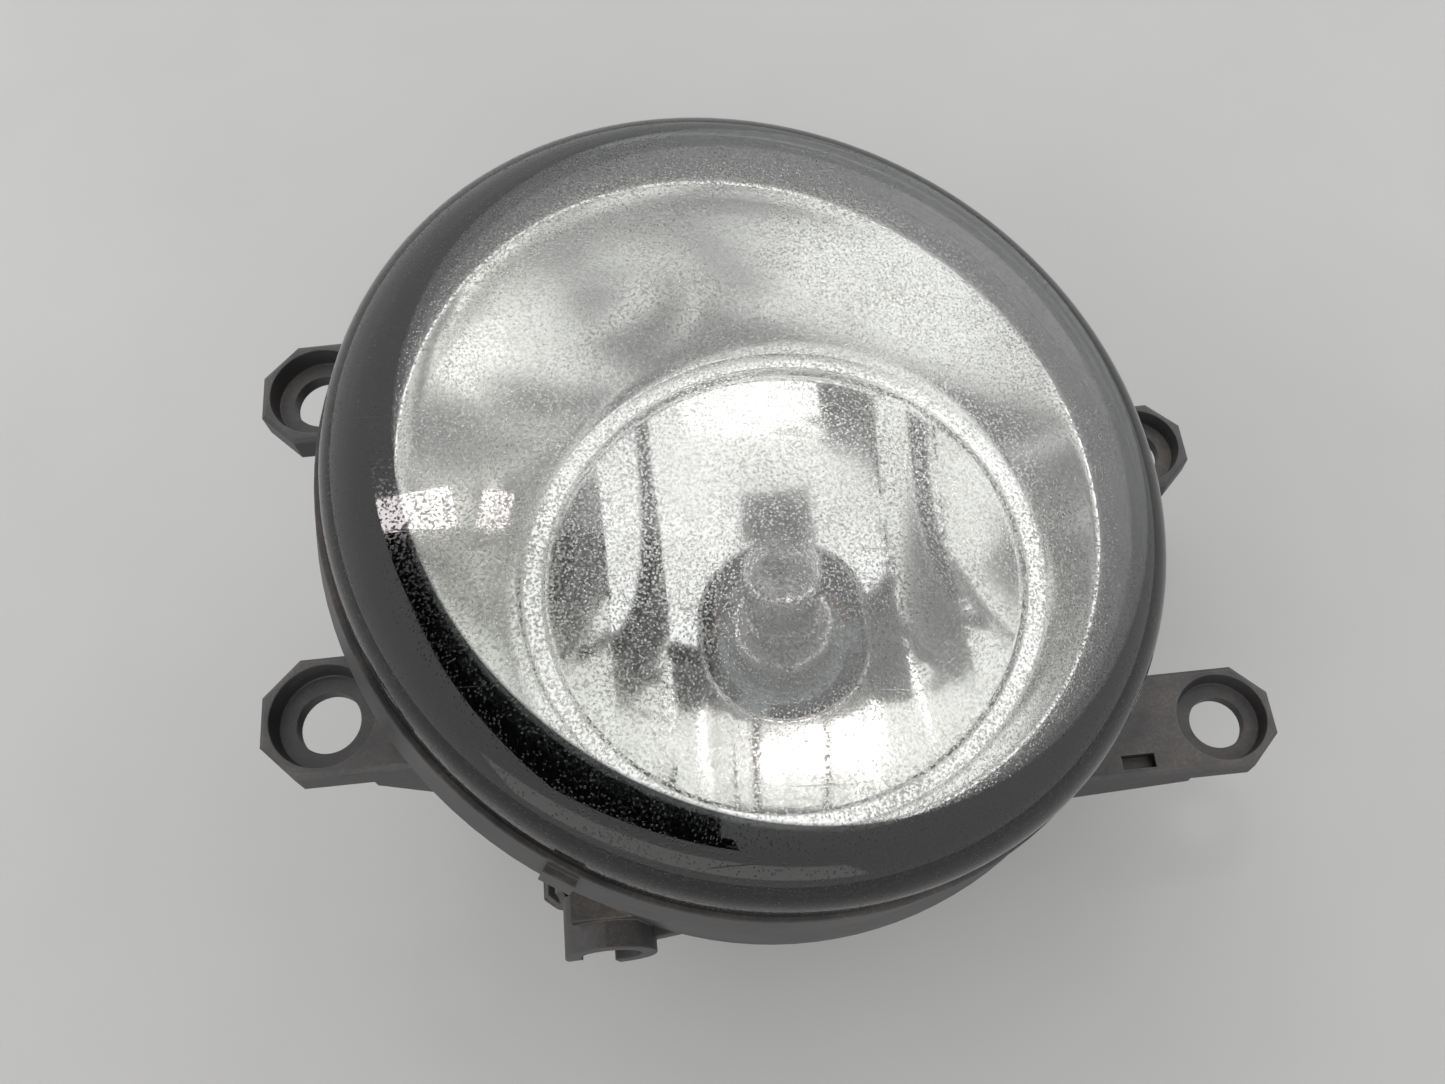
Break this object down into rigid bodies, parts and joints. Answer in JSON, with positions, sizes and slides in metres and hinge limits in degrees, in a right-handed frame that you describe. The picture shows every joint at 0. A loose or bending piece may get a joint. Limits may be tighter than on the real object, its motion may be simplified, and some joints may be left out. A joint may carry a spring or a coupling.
{
  "type": "automotive fog light",
  "caption": "Round car fog light with a swept glass lens, screw ears, an inner reflector tilted by a toothed aiming wheel, and a twist-in bulb with a side connector.",
  "frame": {"origin": "on the optical axis, midway in depth between the seats of the left and the right ears", "axes": "+Z along the optical axis out through the lens (forwards on the car), +X towards the lower-set ears (outboard), +Y up"},
  "size_m": [0.143, 0.109, 0.1034],
  "materials": {
    "housing": "satin",
    "front_lens": "polished, finely pitted",
    "lens_sealant": "matt",
    "reflector": "metallised, bright",
    "pivot_pins": "plain",
    "pivot_bushes": "natural",
    "adjuster_wheel": "satin",
    "adjuster_screw": "zinc plated",
    "adjuster_washer": "plain",
    "adjuster_o_ring": "matt",
    "adjuster_clip": "phosphated",
    "adjuster_nut": "natural",
    "adjuster_fork": "zinc plated",
    "fork_rivets": "plain",
    "bulb_base": "satin",
    "bulb_terminals": "tin plated",
    "bulb_o_ring": "matt",
    "bulb_collar": "plated",
    "bulb_cement": "chalky",
    "bulb_capsule": "clear",
    "bulb_filament": "drawn wire",
    "filament_leads": "drawn wire",
    "breather_caps": "matt",
    "breather_filters": "open foam"
  },
  "bodies": {
    "housing_unit": {"housing": "housing", "front_lens": "front_lens", "lens_sealant": "lens_sealant", "pivot_pins": "pivot_pins", "adjuster_washer": "adjuster_washer", "adjuster_o_ring": "adjuster_o_ring", "breather_caps": "breather_caps", "breather_filters": "breather_filters"},
    "reflector_unit": {"reflector": "reflector", "pivot_bushes": "pivot_bushes", "adjuster_fork": "adjuster_fork", "fork_rivets": "fork_rivets"},
    "adjuster": {"adjuster_wheel": "adjuster_wheel", "adjuster_screw": "adjuster_screw", "adjuster_clip": "adjuster_clip"},
    "nut": {"adjuster_nut": "adjuster_nut"},
    "bulb": {"bulb_base": "bulb_base", "bulb_terminals": "bulb_terminals", "bulb_o_ring": "bulb_o_ring", "bulb_collar": "bulb_collar", "bulb_cement": "bulb_cement", "bulb_capsule": "bulb_capsule", "bulb_filament": "bulb_filament", "filament_leads": "filament_leads"}
  },
  "joints": [
    {"name": "reflector_tilt", "type": "hinge", "parent": "housing_unit", "child": "reflector_unit", "pos_m": [0, 0, 0], "axis": [1, 0, 0], "range_deg": [-2.5, 2.5]},
    {"name": "adjuster_spin", "type": "hinge", "parent": "housing_unit", "child": "adjuster", "pos_m": [-0.0332, 0, -0.016], "axis": [0, 1, 0], "range_deg": [-315, 315]},
    {"name": "nut_slide", "type": "slide", "parent": "housing_unit", "child": "nut", "axis": [0, 1, 0], "range_m": [-0.0007, 0.0007]},
    {"name": "bulb_twist", "type": "hinge", "parent": "housing_unit", "child": "bulb", "pos_m": [0, 0, 0], "axis": [0, 0, 1], "range_deg": [0, 30]}
  ],
  "couplings": [
    {"joint": "adjuster_spin", "follows": "reflector_tilt", "ratio": -125.66},
    {"joint": "nut_slide", "follows": "reflector_tilt", "m_per_rad": 0.016}
  ]
}
